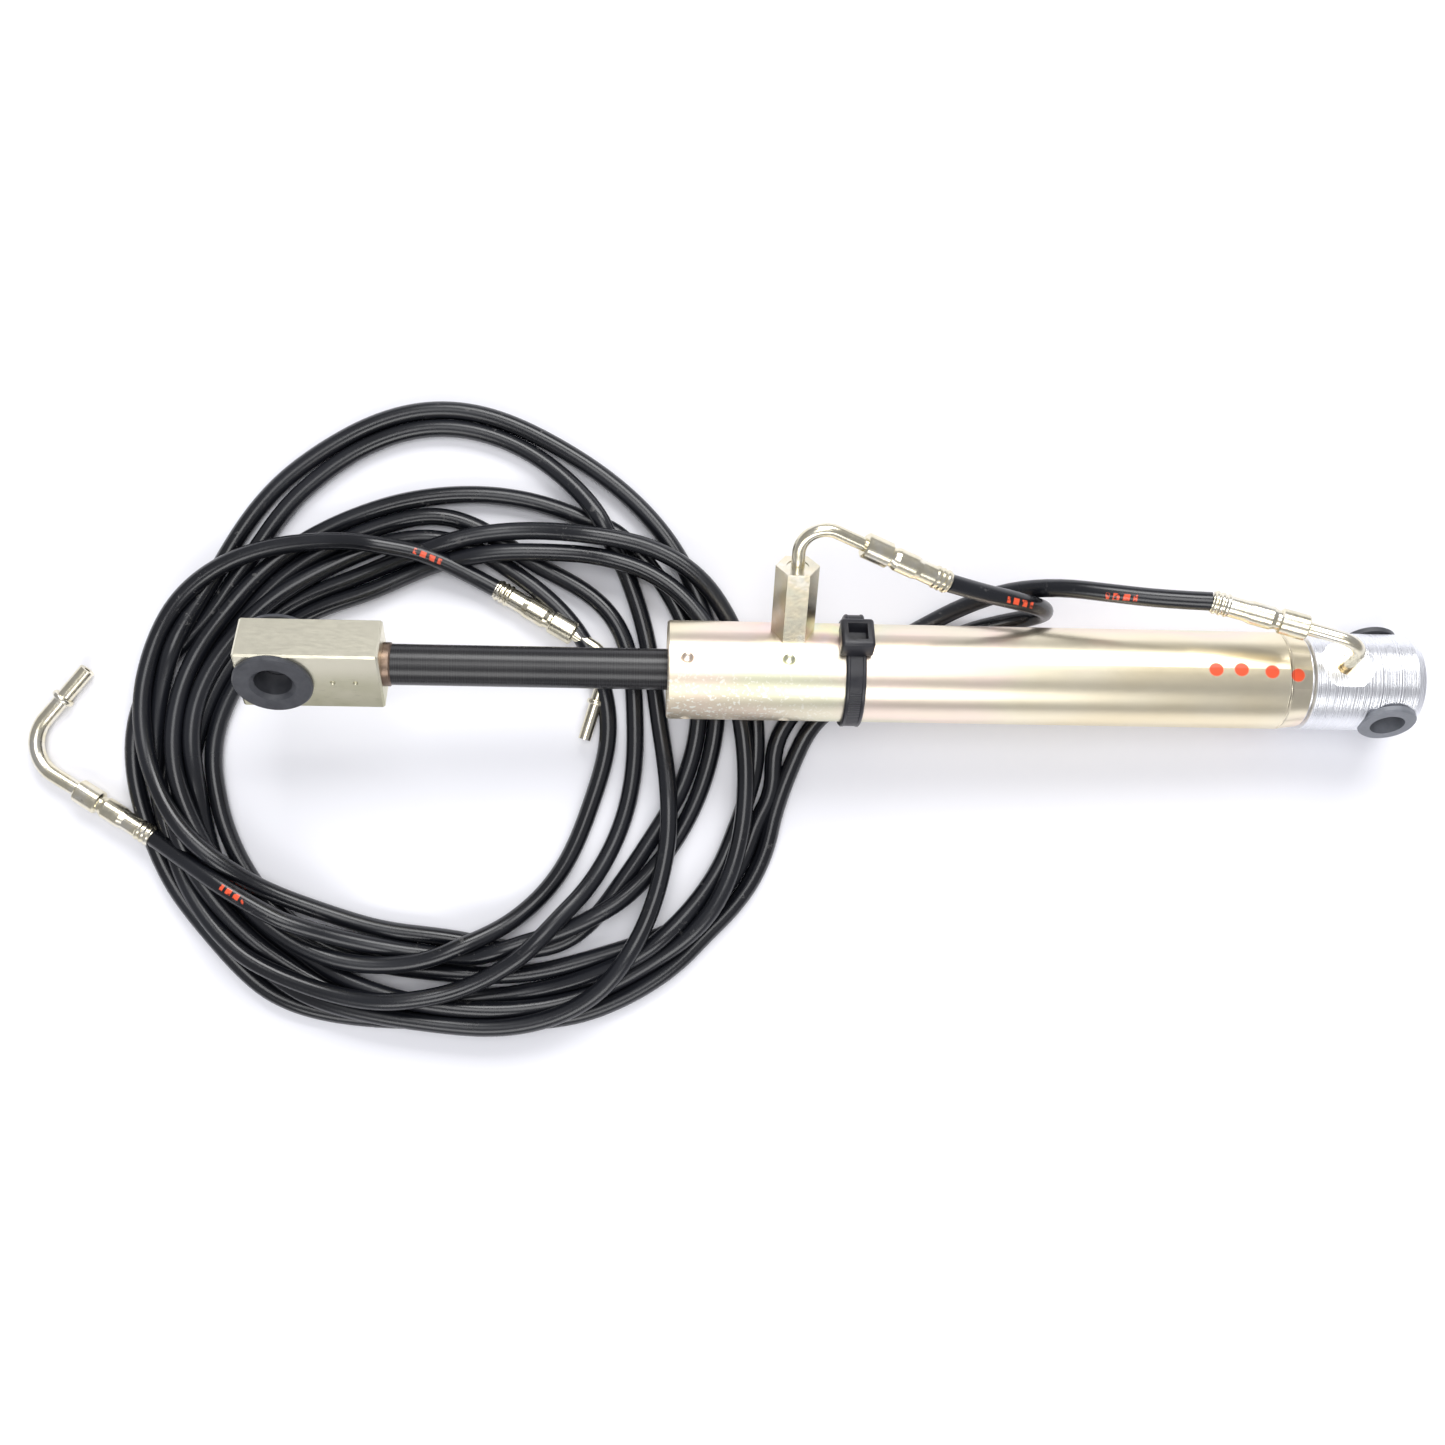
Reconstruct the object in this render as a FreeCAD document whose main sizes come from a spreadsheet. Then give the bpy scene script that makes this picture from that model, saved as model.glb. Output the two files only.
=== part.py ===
import FreeCAD, Part
import math
import os
import re
import Sketcher
from FreeCAD import Placement, Rotation, Vector

# A double-acting hydraulic cylinder that lies on a bench with its two hoses wound into one loose coil.
#
# Row frame, in millimetres: the origin is the centre of the rear eye, +X points along the cylinder
# from the rod end to the rear end, +Z is the bench's upward normal. The bench is eye_height below
# the origin. The barrel's front lies on the coil, so the cylinder leans by lean degrees.
#
# Cylinder frame: Z runs along the cylinder from the rear end to the rod end and its values are
# called stations, X points up and Y is the row's Y. A roll turns from X towards Y about Z.

AXIAL = Vector(0, 0, 1)
ACROSS = Vector(0, 1, 0)
UPWARD = Vector(1, 0, 0)

DIMENSIONS = (
    # the whole cylinder
    ("eye_height", 13.25), ("lean", 3.1), ("eye_station", 6.5), ("rod_eye_station", 276.9),
    ("fit_gap", 0.05), ("loose_gap", 0.15), ("skin_gap", 0.02), ("flow_radius", 0.8),
    # barrel and its stakes
    ("barrel_radius", 12.0), ("barrel_bore", 10.0), ("barrel_rear", 27.5), ("barrel_front", 183.3),
    ("swage_length", 5.0), ("swage_radius", 11.35), ("edge_break", 0.4),
    ("stake_front", 178.7), ("stake_rear", 154.6), ("stake_sphere", 1.9), ("stake_depth", 0.75),
    ("stake_roll", 12.0),
    # front gland, its seals and the annular chamber behind it
    ("gland_front", 182.1), ("gland_rear", 153.1), ("gland_chamfer", 1.2),
    ("wiper_length", 3.2), ("wiper_radius", 7.4), ("wiper_lip", 1.2),
    ("seal_front", 172.0), ("seal_length", 5.0), ("seal_radius", 8.0),
    ("ring_station", 163.0), ("ring_section", 0.8), ("ring_groove", 2.2),
    # piston, its rings and its nut
    ("piston_front", 113.6), ("piston_length", 13.0), ("guide_width", 4.0), ("guide_station", 110.6),
    ("groove_depth", 1.5), ("piston_seal_station", 104.6), ("piston_seal_width", 3.0),
    ("nut_length", 5.0), ("nut_corner", 5.8), ("stud_radius", 3.0), ("nut_recess", 6.6),
    # rod, neck ring and rod-eye block
    ("rod_radius", 5.0), ("rod_shoulder", 249.4), ("neck_length", 2.0), ("neck_radius", 5.35),
    ("thread_radius", 4.0), ("thread_depth", 12.0), ("block_rear", 251.4), ("block_length", 33.9),
    ("block_height", 18.5), ("block_width", 12.4), ("block_chamfer", 0.5), ("rod_eye_roll", -51.0),
    ("rod_bush_bore", 4.5), ("rod_bush_radius", 5.6), ("rod_flange", 9.5), ("rod_flange_thick", 1.2),
    ("rod_lead_in", 1.0), ("punch_radius", 1.1), ("punch_depth", 0.5), ("punch_point", 0.2),
    ("punch_first", 14.0), ("punch_second", 19.4),
    # rear cap
    ("cap_end", -1.9), ("cap_radius", 12.0), ("cap_neck", 11.0), ("cap_spigot_end", 40.1),
    ("cap_round", 3.2), ("cap_ring_station", 34.0), ("spigot_radius", 9.95), ("nut_recess_depth", 5.2),
    ("rear_eye_roll", -60.0), ("rear_flats", 10.8), ("rear_bush_bore", 4.1),
    ("rear_bush_radius", 5.5), ("rear_flange", 6.9), ("rear_flange_thick", 1.5),
    # ports: radii from the cylinder's axis, then the elbows' straight and bend sizes
    ("port_hole", 2.6), ("port_drill", 1.1), ("sleeve_radius", 2.55), ("sleeve_length", 3.0),
    ("elbow_radius", 1.6), ("elbow_bend", 6.0), ("spigot_depth", 9.0),
    ("front_port_station", 153.5), ("front_port_roll", 54.0), ("boss_rim", 29.9),
    ("boss_corner", 5.2), ("boss_floor", 11.6), ("front_rise", 3.6), ("front_turn", 115.0),
    ("front_reach", 7.2),
    ("rear_port_station", 18.6), ("rear_port_roll", 21.0), ("spot_face", 10.6), ("spot_radius", 6.5),
    ("rear_rise", 5.5), ("rear_turn", 93.0), ("rear_reach", 8.0), ("rear_swing", 18.0),
    ("rear_spigot_depth", 3.4), ("rear_sleeve_length", 1.6),
    # hose fittings: collar, then ferrule
    ("collar_radius", 3.1), ("collar_length", 6.8), ("ferrule_radius", 2.8),
    ("ferrule_length", 16.2), ("ferrule_neck", 2.35), ("ferrule_waist", 2.5),
    ("ferrule_shoulder", 1.5), ("ring_pitch", 1.4),
    # hoses and their free ends
    ("hose_radius", 2.25), ("end_a_radius", 2.0), ("end_a_bend", 9.5), ("end_b_radius", 1.6),
    ("end_b_bend", 6.5), ("bead_radius", 2.9), ("bead_b_radius", 2.3), ("bead_width", 1.4),
    ("bead_round", 0.55),
    ("coil_height", 8.9), ("pile_height", 13.2), ("pile_edge", -238.0), ("pile_span", 400.0),
    # cable tie
    ("tie_station", 138.6), ("tie_width", 4.8), ("tie_thick", 1.3), ("tie_roll", 33.0),
    ("tie_head_length", 8.2), ("tie_head_height", 5.4), ("tie_head_width", 8.0),
)

# Hose routes: x, y and the height of the hose's centre above the bench.
LEAD_A = (
    (-101.5, 19.3, 30.2), (-92.5, 18.0, 25.3), (-85.3, 17.0, 18.8), (-82.0, 16.2, 11.2),
    (-85.2, 15.2, 5.0), (-92.5, 13.8, 2.6), (-101.0, 11.5, 2.5), (-111.5, 6.4, 2.4),
    (-122.5, -0.2, 2.4), (-132.8, -6.6, 2.4), (-140.4, -13.2, 2.4), (-144.8, -22.8, 2.4),
    (-146.8, -32.5, 2.4),
)
LEAD_B = (
    (-57.5, 18.6, 28.8), (-69.5, 20.1, 25.8), (-81.0, 21.8, 20.9), (-92.0, 21.4, 13.2),
    (-102.0, 18.0, 6.4), (-112.0, 12.6, 2.9), (-124.0, 5.6, 2.4), (-136.5, -1.8, 2.4),
    (-144.8, -9.5, 2.4), (-149.8, -18.5, 2.4), (-151.5, -27.0, 2.4), (-153.2, -34.9, 2.4),
)
TAIL_A = ((-304.2, -46.3, 4.6), (-295.5, -51.0, 6.6), (-286.5, -56.3, 8.0), (-277.5, -61.2, 8.6))
TAIL_B = ((-220.6, 20.2, 3.0), (-230.0, 25.2, 4.2), (-240.0, 29.2, 6.8), (-250.5, 31.6, 9.0))

# Free ends: from the nipple's tip to the collar.
END_A_TUBE = ((-325.5, -1.9, 2.6), (-343.2, -23.2, 2.4), (-327.2, -32.6, 3.0))
END_A_LINE = ((-327.2, -32.6, 3.0), (-304.2, -46.3, 4.6))
END_B_TUBE = ((-198.1, -17.6, 2.4), (-191.9, 3.6, 2.4), (-201.0, 9.2, 3.0))
END_B_LINE = ((-201.0, 9.2, 3.0), (-220.6, 20.2, 3.0))
BEAD_A = 8.9
BEAD_B = 9.2

# The coil's outline on the bench, outside and inside.
COIL_OUTSIDE = (
    (-151.0, 3.0), (-143.5, -24.0), (-146.5, -40.0), (-159.0, -62.5), (-186.0, -84.5),
    (-222.0, -93.5), (-258.0, -88.0), (-290.0, -69.0), (-311.0, -41.0), (-315.6, -12.0),
    (-303.0, 17.0), (-283.0, 43.0), (-259.0, 62.0), (-233.0, 68.6), (-206.0, 61.0),
    (-183.0, 41.0), (-166.0, 22.0),
)
COIL_INSIDE = (
    (-195.0, -12.0), (-197.5, -31.0), (-207.0, -51.0), (-223.0, -64.5), (-246.0, -67.0),
    (-268.0, -58.0), (-284.0, -40.0), (-289.5, -18.0), (-280.5, 2.5), (-264.0, 13.5),
    (-243.0, 22.5), (-222.0, 26.5), (-206.0, 19.5), (-198.0, 5.0),
)

# A tube's arc takes this share of the shorter of the two runs beside it.
BEND_SHARE = 0.45

doc = FreeCAD.newDocument("HydraulicCylinder")
sheet = doc.addObject("Spreadsheet::Sheet", "Dims")
for row, (alias, value) in enumerate(DIMENSIONS, start=1):
    sheet.set(f"A{row}", alias)
    sheet.set(f"B{row}", str(value))
    sheet.setAlias(f"B{row}", alias)
doc.recompute()


def mm(alias):
    """A driving dimension's number."""
    return float(sheet.get(alias))


def dims(words):
    """An expression in which each word is one of the sheet's aliases."""
    return re.sub(r"[a-z][a-z_]+", lambda found: "Dims." + found.group(0), words)


def on_bench(point):
    """A point given with its height above the bench, in the row frame."""
    return Vector(point[0], point[1], point[2] - mm("eye_height"))


# ---------------------------------------------------------------- frames

LEAN = Rotation(ACROSS, mm("lean") - 90.0)
CYLINDER = Placement(LEAN.multVec(AXIAL) * -mm("eye_station"), LEAN)


def rolled(degrees):
    """The cylinder frame, rolled about its own axis."""
    return CYLINDER * Placement(Vector(), Rotation(AXIAL, degrees))


def facing(point, direction):
    """A frame at a point whose Z axis looks along a direction."""
    return Placement(point, Rotation(AXIAL, direction))


# ---------------------------------------------------------------- features

pieces = []


def new_body(name, placement=CYLINDER):
    body = doc.addObject("PartDesign::Body", name)
    body.Label = name
    body.Placement = placement
    pieces.append(body)
    return body


def new_sketch(body, name, role="XZ_Plane"):
    sketch = body.newObject("Sketcher::SketchObject", name)
    for plane in body.Origin.OriginFeatures:
        if plane.Role == role:
            sketch.AttachmentSupport = [(plane, "")]
    sketch.MapMode = "FlatFace"
    return sketch


def bind(sketch, kind, first, value):
    """Hold one vertex at a signed distance from the sketch's origin; 0 holds it on the axis."""
    along = {"DistanceX": 0, "DistanceY": 1}[kind]
    if value == "0":
        sketch.addConstraint(Sketcher.Constraint("PointOnObject", first, 1, -2 + along))
        return
    here = sketch.getPoint(first, 1)[along]
    index = sketch.addConstraint(Sketcher.Constraint(kind, -1, 1, first, 1, here))
    sketch.setExpression(f"Constraints[{index}]", dims(value))


def outline(sketch, corners):
    """A closed polygon whose corners are pairs of expressions."""
    count = len(corners)
    ring = [Vector(40 + 20 * math.cos(math.tau * k / count), 40 + 20 * math.sin(math.tau * k / count))
            for k in range(count)]
    for k in range(count):
        sketch.addGeometry(Part.LineSegment(ring[k], ring[(k + 1) % count]))
    for k in range(count):
        sketch.addConstraint(Sketcher.Constraint("Coincident", k, 2, (k + 1) % count, 1))
    for k, (across, along) in enumerate(corners):
        bind(sketch, "DistanceX", k, across)
        bind(sketch, "DistanceY", k, along)


def turned(name, corners, placement=CYLINDER):
    """A turned piece: an outline of radius and station pairs, revolved about the frame's Z axis."""
    body = new_body(name, placement)
    sketch = new_sketch(body, name + "_profile")
    outline(sketch, corners)
    turn = body.newObject("PartDesign::Revolution", name + "_turn")
    turn.Profile = sketch
    turn.ReferenceAxis = (sketch, ["V_Axis"])
    turn.Angle = 360
    sketch.Visibility = False
    return body


def ring_seal(name, centre_radius, section, station, placement=CYLINDER):
    """An O-ring: a circle revolved about the frame's Z axis."""
    body = new_body(name, placement)
    sketch = new_sketch(body, name + "_section")
    sketch.addGeometry(Part.Circle(Vector(40, 40), AXIAL, 5))
    size = sketch.addConstraint(Sketcher.Constraint("Radius", 0, 5))
    sketch.setExpression(f"Constraints[{size}]", dims(section))
    for kind, value in (("DistanceX", centre_radius), ("DistanceY", station)):
        index = sketch.addConstraint(Sketcher.Constraint(kind, -1, 1, 0, 3, 40))
        sketch.setExpression(f"Constraints[{index}]", dims(value))
    turn = body.newObject("PartDesign::Revolution", name + "_turn")
    turn.Profile = sketch
    turn.ReferenceAxis = (sketch, ["V_Axis"])
    turn.Angle = 360
    return body


def drill(body, name, radius, depth, start, direction):
    """A round hole from a start point, in the body's own frame."""
    hole = body.newObject("PartDesign::SubtractiveCylinder", name)
    hole.setExpression("Radius", dims(radius))
    hole.setExpression("Height", dims(depth))
    hole.Placement = facing(start, direction)
    return hole


def cylinder(name, radius, depth, placement):
    tool = doc.addObject("Part::Cylinder", name)
    tool.setExpression("Radius", dims(radius))
    tool.setExpression("Height", dims(depth))
    tool.Placement = placement
    return tool


def prism(name, corner_radius, depth, placement):
    tool = doc.addObject("Part::Prism", name)
    tool.Polygon = 6
    tool.setExpression("Circumradius", dims(corner_radius))
    tool.setExpression("Height", dims(depth))
    tool.Placement = placement
    return tool


def box(name, sizes, placement):
    tool = doc.addObject("Part::Box", name)
    for side, size in zip(("Length", "Width", "Height"), sizes):
        tool.setExpression(side, dims(size))
    tool.Placement = placement
    return tool


def cut(name, base, tools, is_piece=True):
    if len(tools) > 1:
        joined = doc.addObject("Part::MultiFuse", name + "_tools")
        joined.Shapes = tools
    else:
        joined = tools[0]
    result = doc.addObject("Part::Cut", name)
    result.Base = base
    result.Tool = joined
    result.Label = name
    if is_piece:
        pieces.append(result)
    return result


def plain_piece(name, shape):
    """A piece whose shape is worked out here from the sheet's numbers."""
    piece = doc.addObject("Part::Feature", name)
    piece.Shape = shape
    piece.Label = name
    pieces.append(piece)
    return piece


# ---------------------------------------------------------------- tubes along a route

def route_edges(points, bend=None):
    """Straight runs joined by tangent arcs. Without a bend, each arc is as large as its runs allow."""
    edges = []
    radii = []
    start = points[0]
    for before, corner, after in zip(points, points[1:], points[2:]):
        arriving = (corner - before).normalize()
        leaving = (after - corner).normalize()
        half_turn = arriving.getAngle(leaving) / 2.0
        shorter = min((corner - before).Length, (after - corner).Length)
        radius = bend or BEND_SHARE * shorter / math.tan(half_turn)
        reach = radius * math.tan(half_turn)
        inward = (leaving - arriving).normalize()
        centre = corner + inward * (radius / math.cos(half_turn))
        arc_start = corner - arriving * reach
        arc_end = corner + leaving * reach
        edges.append(Part.LineSegment(start, arc_start).toShape())
        edges.append(Part.Arc(arc_start, centre - inward * radius, arc_end).toShape())
        radii.append(radius)
        start = arc_end
    edges.append(Part.LineSegment(start, points[-1]).toShape())
    return edges, radii


def tube(name, points, radius, bend=None, bore=0.0):
    """A round tube along a route, checked against its section times its length."""
    edges, radii = route_edges(points, bend)
    path = Part.Wire(edges)
    direction = points[1] - points[0]

    def swept(size):
        ring = Part.Wire(Part.Circle(points[0], direction, size).toShape())
        return path.makePipeShell([ring], True, False)

    solid = swept(radius)
    expected = math.pi * radius ** 2 * path.Length
    print(f"{name}: length {path.Length:.1f} mm, volume / section x length {solid.Volume / expected:.4f},"
          f" arc radii {', '.join(f'{r:.1f}' for r in radii)}")
    return solid.cut(swept(bore)) if bore else solid


# ---------------------------------------------------------------- barrel

def barrel_tube():
    """The tube, with its rear edge swaged inwards and two rows of four stakes near its front."""
    body = turned("barrel_tube", (
        ("barrel_bore", "barrel_rear + swage_length"),
        ("barrel_bore", "barrel_front - edge_break"),
        ("barrel_bore + edge_break", "barrel_front"),
        ("barrel_radius - edge_break", "barrel_front"),
        ("barrel_radius", "barrel_front - edge_break"),
        ("barrel_radius", "barrel_rear + swage_length"),
        ("swage_radius", "barrel_rear"),
        ("barrel_bore + 2 * fit_gap", "barrel_rear"),
    ), rolled(mm("stake_roll")))
    stakes = []
    for row in ("stake_front", "stake_rear"):
        stake = body.newObject("PartDesign::SubtractiveSphere", row)
        stake.setExpression("Radius", dims("stake_sphere"))
        stake.setExpression("Placement.Base.x", dims("barrel_radius + stake_sphere - stake_depth"))
        stake.setExpression("Placement.Base.z", dims(row))
        stakes.append(stake)
    doc.recompute()
    pattern = body.newObject("PartDesign::PolarPattern", "stakes_round_barrel")
    pattern.Originals = stakes
    for axis in body.Origin.OriginFeatures:
        if axis.Role == "Z_Axis":
            pattern.Axis = (axis, [""])
    pattern.Angle = 360
    pattern.Occurrences = 4
    body.Tip = pattern
    doc.recompute()
    boss = Rotation(AXIAL, mm("front_port_roll") - mm("stake_roll"))
    drill(body, "port_drilling", "port_drill", "barrel_radius",
          Vector(0, 0, mm("front_port_station")), boss.multVec(UPWARD))


def front_port_boss():
    """A hexagonal boss brazed to the barrel, bored for the elbow's spigot."""
    out = rolled(mm("front_port_roll"))
    radial = out * facing(Vector(0, 0, mm("front_port_station")), UPWARD)
    hexagon = prism("boss_hexagon", "boss_corner", "boss_rim", radial)
    barrel = cylinder("boss_saddle", "barrel_radius + skin_gap", "barrel_front", CYLINDER)
    spigot = radial * Placement(Vector(0, 0, mm("boss_rim") - mm("spigot_depth")), Rotation())
    bore = cylinder("boss_bore", "port_hole", "spigot_depth", spigot)
    drilling = cylinder("boss_drilling", "port_drill", "boss_rim", radial)
    cut("front_port_boss", hexagon, [barrel, bore, drilling])


# ---------------------------------------------------------------- gland and seals

def front_gland():
    turned("front_gland", (
        ("rod_radius + fit_gap", "gland_rear"),
        ("barrel_bore - gland_chamfer", "gland_rear"),
        ("barrel_bore - fit_gap", "gland_rear + gland_chamfer"),
        ("barrel_bore - fit_gap", "ring_station - ring_groove / 2"),
        ("barrel_bore - 2 * ring_section", "ring_station - ring_groove / 2"),
        ("barrel_bore - 2 * ring_section", "ring_station + ring_groove / 2"),
        ("barrel_bore - fit_gap", "ring_station + ring_groove / 2"),
        ("barrel_bore - fit_gap", "gland_front"),
        ("wiper_radius", "gland_front"),
        ("wiper_radius", "gland_front - wiper_length"),
        ("rod_radius + fit_gap", "gland_front - wiper_length"),
        ("rod_radius + fit_gap", "seal_front"),
        ("seal_radius", "seal_front"),
        ("seal_radius", "seal_front - seal_length"),
        ("rod_radius + fit_gap", "seal_front - seal_length"),
    ))
    ring_seal("gland_o_ring", "barrel_bore - ring_section - fit_gap / 2", "ring_section - fit_gap",
              "ring_station")
    turned("rod_seal", (
        ("rod_radius + fit_gap", "seal_front - seal_length + loose_gap"),
        ("seal_radius - fit_gap", "seal_front - seal_length + loose_gap"),
        ("seal_radius - fit_gap", "seal_front - loose_gap"),
        ("(rod_radius + seal_radius) / 2", "seal_front - seal_length / 2"),
        ("rod_radius + fit_gap", "seal_front - loose_gap"),
    ))
    turned("rod_wiper", (
        ("rod_radius + fit_gap", "gland_front - wiper_length + loose_gap"),
        ("wiper_radius - fit_gap", "gland_front - wiper_length + loose_gap"),
        ("wiper_radius - fit_gap", "gland_front"),
        ("rod_radius + wiper_lip", "gland_front"),
        ("rod_radius + fit_gap", "gland_front + wiper_lip / 2"),
    ))


# ---------------------------------------------------------------- piston

def piston():
    """The piston with two ring grooves, its rings, and the nut that holds it on the rod."""
    rear = "piston_front - piston_length"
    turned("piston", (
        ("stud_radius + fit_gap", rear),
        ("barrel_bore - loose_gap - edge_break", rear),
        ("barrel_bore - loose_gap", rear + " + edge_break"),
        ("barrel_bore - loose_gap", "piston_seal_station - piston_seal_width / 2"),
        ("barrel_bore - groove_depth", "piston_seal_station - piston_seal_width / 2"),
        ("barrel_bore - groove_depth", "piston_seal_station + piston_seal_width / 2"),
        ("barrel_bore - loose_gap", "piston_seal_station + piston_seal_width / 2"),
        ("barrel_bore - loose_gap", "guide_station - guide_width / 2"),
        ("barrel_bore - groove_depth", "guide_station - guide_width / 2"),
        ("barrel_bore - groove_depth", "guide_station + guide_width / 2"),
        ("barrel_bore - loose_gap", "guide_station + guide_width / 2"),
        ("barrel_bore - loose_gap", "piston_front - edge_break"),
        ("barrel_bore - loose_gap - edge_break", "piston_front"),
        ("stud_radius + fit_gap", "piston_front"),
    ))
    for name, station, width in (("piston_seal", "piston_seal_station", "piston_seal_width"),
                                 ("piston_guide_ring", "guide_station", "guide_width")):
        low = f"{station} - {width} / 2 + fit_gap"
        high = f"{station} + {width} / 2 - fit_gap"
        turned(name, (
            ("barrel_bore - groove_depth + fit_gap", low),
            ("barrel_bore - fit_gap", low),
            ("barrel_bore - fit_gap", high),
            ("barrel_bore - groove_depth + fit_gap", high),
        ))
    nut_rear = mm("piston_front") - mm("piston_length") - mm("nut_length")
    seat = CYLINDER * Placement(Vector(0, 0, nut_rear), Rotation())
    blank = prism("nut_blank", "nut_corner", "nut_length", seat)
    hole = cylinder("nut_hole", "stud_radius + fit_gap", "nut_length", seat)
    cut("piston_nut", blank, [hole])


# ---------------------------------------------------------------- rod and rod eye

def rod():
    stud_end = "piston_front - piston_length - nut_length"
    turned("rod", (
        ("0", stud_end),
        ("stud_radius", stud_end),
        ("stud_radius", "piston_front"),
        ("rod_radius", "piston_front"),
        ("rod_radius", "rod_shoulder"),
        ("thread_radius - fit_gap", "rod_shoulder"),
        ("thread_radius - fit_gap", "block_rear + thread_depth - loose_gap"),
        ("0", "block_rear + thread_depth - loose_gap"),
    ))
    turned("rod_neck_ring", (
        ("thread_radius", "rod_shoulder"),
        ("neck_radius - edge_break", "rod_shoulder"),
        ("neck_radius", "rod_shoulder + edge_break"),
        ("neck_radius", "block_rear"),
        ("thread_radius", "block_rear"),
    ))


def rod_eye():
    """A rectangular block with a cross bore, two flanged bushes and two punch marks."""
    frame = rolled(mm("rod_eye_roll"))
    corner = Vector(-mm("block_width") / 2, -mm("block_height") / 2, mm("block_rear"))
    blank = box("rod_eye_blank", ("block_width", "block_height", "block_length"),
                frame * Placement(corner, Rotation()))
    doc.recompute()
    broken = doc.addObject("Part::Chamfer", "rod_eye_edges")
    broken.Base = blank
    size = mm("block_chamfer")
    broken.Edges = [(number, size, size) for number in range(1, 13)]
    eye = Vector(-mm("block_width"), 0, mm("rod_eye_station"))
    bore = cylinder("rod_eye_bore", "rod_bush_radius", "2 * block_width", frame * facing(eye, UPWARD))
    thread = cylinder("rod_eye_thread", "thread_radius", "thread_depth",
                      frame * Placement(Vector(0, 0, mm("block_rear")), Rotation()))
    tools = [bore, thread]
    for step in (mm("punch_first"), mm("punch_second")):
        station = mm("rod_eye_station") - step
        reach = mm("block_width") / 2 - mm("punch_depth")
        mark = doc.addObject("Part::Cone", "punch_mark")
        mark.Radius1 = mm("punch_point")
        mark.setExpression("Radius2", dims("punch_radius"))
        mark.setExpression("Height", dims("2 * punch_depth"))
        mark.Placement = frame * facing(Vector(reach, 0, station), UPWARD)
        tools.append(mark)
    cut("rod_eye_block", broken, tools)
    for name, side in (("rod_eye_bush_near", 1), ("rod_eye_bush_far", -1)):
        seat = frame * facing(Vector(0, 0, mm("rod_eye_station")), UPWARD * side)
        turned(name, (
            ("rod_bush_bore", "loose_gap"),
            ("rod_bush_radius - fit_gap", "loose_gap"),
            ("rod_bush_radius - fit_gap", "block_width / 2"),
            ("rod_flange", "block_width / 2"),
            ("rod_flange", "block_width / 2 + rod_flange_thick - edge_break"),
            ("rod_flange - edge_break", "block_width / 2 + rod_flange_thick"),
            ("rod_bush_bore + rod_lead_in", "block_width / 2 + rod_flange_thick"),
            ("rod_bush_bore", "block_width / 2 + rod_flange_thick - rod_lead_in"),
        ), seat)


# ---------------------------------------------------------------- rear cap

def rear_cap():
    """An aluminium cap: a round-ended head with a cross bore, and a spigot inside the barrel."""
    body = turned("rear_cap", (
        ("0", "cap_end"),
        ("cap_radius - cap_round", "cap_end"),
        ("cap_radius - cap_round / 3", "cap_end + cap_round / 3"),
        ("cap_radius", "cap_end + cap_round"),
        ("cap_radius", "barrel_rear - 2 * edge_break"),
        ("cap_neck", "barrel_rear - edge_break"),
        ("cap_neck", "barrel_rear - loose_gap"),
        ("spigot_radius", "barrel_rear - loose_gap"),
        ("spigot_radius", "cap_ring_station - ring_groove / 2"),
        ("barrel_bore - 2 * ring_section", "cap_ring_station - ring_groove / 2"),
        ("barrel_bore - 2 * ring_section", "cap_ring_station + ring_groove / 2"),
        ("spigot_radius", "cap_ring_station + ring_groove / 2"),
        ("spigot_radius", "cap_spigot_end"),
        ("nut_recess", "cap_spigot_end"),
        ("nut_recess", "cap_spigot_end - nut_recess_depth"),
        ("0", "cap_spigot_end - nut_recess_depth"),
    ), rolled(mm("rear_eye_roll")))
    for name, side in (("near_flat", 1), ("far_flat", -1)):
        flat = body.newObject("PartDesign::SubtractiveBox", name)
        flat.setExpression("Length", dims("cap_radius"))
        flat.setExpression("Width", dims("2 * cap_radius"))
        flat.setExpression("Height", dims("2 * eye_station - cap_end + 2 * edge_break"))
        low = mm("rear_flats") if side > 0 else -mm("rear_flats") - mm("cap_radius")
        foot = Vector(low, -mm("cap_radius"), mm("cap_end") - 2 * mm("edge_break"))
        flat.Placement = Placement(foot, Rotation())
    drill(body, "cross_bore", "rear_bush_radius", "4 * cap_radius",
          Vector(-2 * mm("cap_radius"), 0, mm("eye_station")), UPWARD)
    port = Rotation(AXIAL, mm("rear_port_roll") - mm("rear_eye_roll")).multVec(UPWARD)
    centre = Vector(0, 0, mm("rear_port_station"))
    drill(body, "spot_facing", "spot_radius", "cap_radius", centre + port * mm("spot_face"), port)
    drill(body, "port_bore", "port_hole", "cap_radius",
          centre + port * (mm("spot_face") - mm("rear_spigot_depth")), port)
    drill(body, "port_drilling_rear", "port_drill", "cap_radius", centre, port)
    drill(body, "oil_way", "port_drill", "cap_spigot_end - rear_port_station", centre, AXIAL)
    ring_seal("rear_cap_o_ring", "barrel_bore - ring_section - fit_gap / 2", "ring_section - fit_gap",
              "cap_ring_station")
    for name, side in (("rear_bush_near", 1), ("rear_bush_far", -1)):
        seat = body.Placement * facing(Vector(0, 0, mm("eye_station")), UPWARD * side)
        turned(name, (
            ("rear_bush_bore", "0"),
            ("rear_bush_radius - fit_gap", "0"),
            ("rear_bush_radius - fit_gap", "rear_flats"),
            ("rear_flange", "rear_flats"),
            ("rear_flange", "rear_flats + rear_flange_thick - edge_break"),
            ("rear_flange - edge_break", "rear_flats + rear_flange_thick"),
            ("rear_bush_bore", "rear_flats + rear_flange_thick"),
        ), seat)


# ---------------------------------------------------------------- port fittings

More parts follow.
